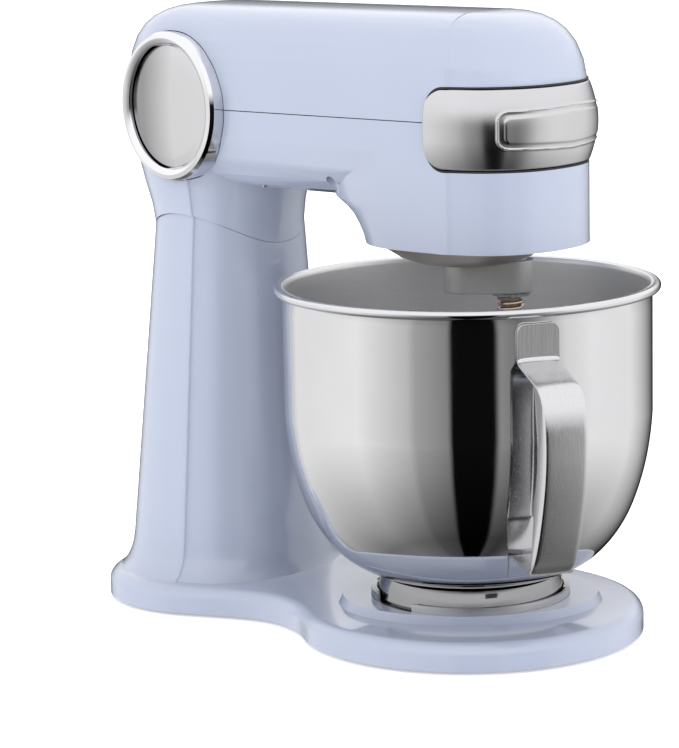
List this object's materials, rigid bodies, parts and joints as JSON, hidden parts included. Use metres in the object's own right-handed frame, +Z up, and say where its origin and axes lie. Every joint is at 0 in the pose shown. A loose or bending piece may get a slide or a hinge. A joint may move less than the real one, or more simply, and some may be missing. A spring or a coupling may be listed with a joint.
{
  "type": "stand mixer",
  "caption": "Tilt-head stand mixer: planetary beater drive, twist-lock steel bowl with a folded handle, pull-off nose band and round side trim.",
  "frame": {"origin": "on the worktop under the middle of the whole machine's outside box", "axes": "+Z up; +Y from the nose and bowl towards the column; +X towards the flank with the speed dial"},
  "size_m": [0.221, 0.3817, 0.3588],
  "materials": {
    "enamel": "gloss pale powder blue enamel",
    "chrome": "polished",
    "satin": "satin",
    "bowl_steel": "polished outside, brushed inside",
    "sheet_steel": "fine brushed",
    "seat_steel": "satin",
    "steel": "machined",
    "shaft_steel": "ground, warm tint",
    "cast_grey": "fine cast, satin",
    "dish": "satin grey-brown",
    "black_rubber": "matt",
    "dark_plastic": "matt",
    "grey_plastic": "satin",
    "dial_metal": "satin with grip flutes",
    "board_green": "satin",
    "bronze": "sintered"
  },
  "bodies": {
    "base": {"pedestal": "enamel", "bottom_plate": "seat_steel", "plate_screws": "steel", "rubber_feet": "black_rubber", "bowl_seat": "seat_steel", "seat_screws": "steel", "hinge_pin": "steel", "lock_catch": "seat_steel", "cord_bush": "black_rubber"},
    "head": {"top_cover": "enamel", "head_casting": "enamel", "hinge_bushes": "bronze", "cover_screws": "steel", "band_gasket": "black_rubber", "port_socket": "cast_grey", "side_ring_right": "chrome", "side_ring_left": "chrome", "side_disc": "satin", "dial_plate": "satin", "speed_switch": "dark_plastic", "motor_mount": "steel", "motor_can": "steel", "motor_stator": "steel", "motor_end_bell": "cast_grey", "carbon_brushes": "dark_plastic", "drive_belt": "black_rubber", "gearbox_cover": "cast_grey", "ball_bearings": "steel", "ring_gear": "steel", "drive_screws": "steel", "lever_pivot": "steel", "control_board": "board_green"},
    "nose_cover": {"nose_band": "chrome"},
    "dial": {"speed_dial": "dial_metal", "dial_shaft": "steel"},
    "rotor": {"rotor_core": "steel", "commutator": "bronze", "motor_shaft": "steel", "small_pulley": "cast_grey"},
    "idler": {"large_pulley": "cast_grey", "pinion_shaft": "steel", "drive_pinion": "steel"},
    "planetary": {"main_gear": "steel", "main_shaft": "steel", "carrier_dish": "dish", "carrier_hub": "cast_grey", "carrier_bushes": "bronze"},
    "beater": {"planet_gear": "steel", "beater_shaft": "shaft_steel", "beater_pin": "shaft_steel", "shaft_washer": "steel", "beater_spring": "steel"},
    "collar": {"beater_collar": "dark_plastic"},
    "lever": {"release_lever": "grey_plastic", "latch_pin": "steel"},
    "bowl": {"bowl_shell": "bowl_steel", "bowl_foot": "bowl_steel", "bowl_handle": "sheet_steel"}
  },
  "joints": [
    {"name": "head_tilt", "type": "hinge", "parent": "base", "child": "head", "pos_m": [0, 0.1217, 0.18], "axis": [-1, 0, 0], "range_deg": [0, 38]},
    {"name": "band_pull", "type": "slide", "parent": "head", "child": "nose_cover", "axis": [0, -1, 0], "range_m": [0, 0.03]},
    {"name": "dial_turn", "type": "hinge", "parent": "head", "child": "dial", "pos_m": [0.0525, 0.1197, 0.3006], "axis": [0.9848, 0.1736, 0], "range_deg": [0, 270]},
    {"name": "planetary_spin", "type": "hinge", "parent": "head", "child": "planetary", "pos_m": [0, -0.0583, 0.25], "axis": [0, 0, 1], "continuous": true},
    {"name": "beater_spin", "type": "hinge", "parent": "planetary", "child": "beater", "pos_m": [0.01602, -0.07749, 0.2], "axis": [0, 0, 1], "continuous": true},
    {"name": "pinion_spin", "type": "hinge", "parent": "head", "child": "idler", "pos_m": [0, -0.0118, 0.3], "axis": [0, 0, 1], "continuous": true},
    {"name": "motor_spin", "type": "hinge", "parent": "head", "child": "rotor", "pos_m": [0, 0.1067, 0.3], "axis": [0, 0, 1], "continuous": true},
    {"name": "collar_slide", "type": "slide", "parent": "beater", "child": "collar", "axis": [0, 0, 1], "range_m": [0, 0.012], "stiffness_N_per_m": 200, "springref_m": -0.004, "deforming": ["beater_spring"]},
    {"name": "release_press", "type": "hinge", "parent": "head", "child": "lever", "pos_m": [0, 0.1627, 0.256], "axis": [-1, 0, 0], "range_deg": [0, 5], "stiffness_Nm_per_rad": 0.6, "springref_deg": -4.58},
    {"name": "bowl_twist", "type": "hinge", "parent": "base", "child": "bowl", "pos_m": [0, -0.0583, 0.03], "axis": [0, 0, 1], "range_deg": [0, 36]}
  ],
  "couplings": [
    {"joint": "pinion_spin", "follows": "planetary_spin", "ratio": -3.4286},
    {"joint": "motor_spin", "follows": "planetary_spin", "ratio": -10.571},
    {"joint": "beater_spin", "follows": "planetary_spin", "ratio": -3.2222}
  ]
}
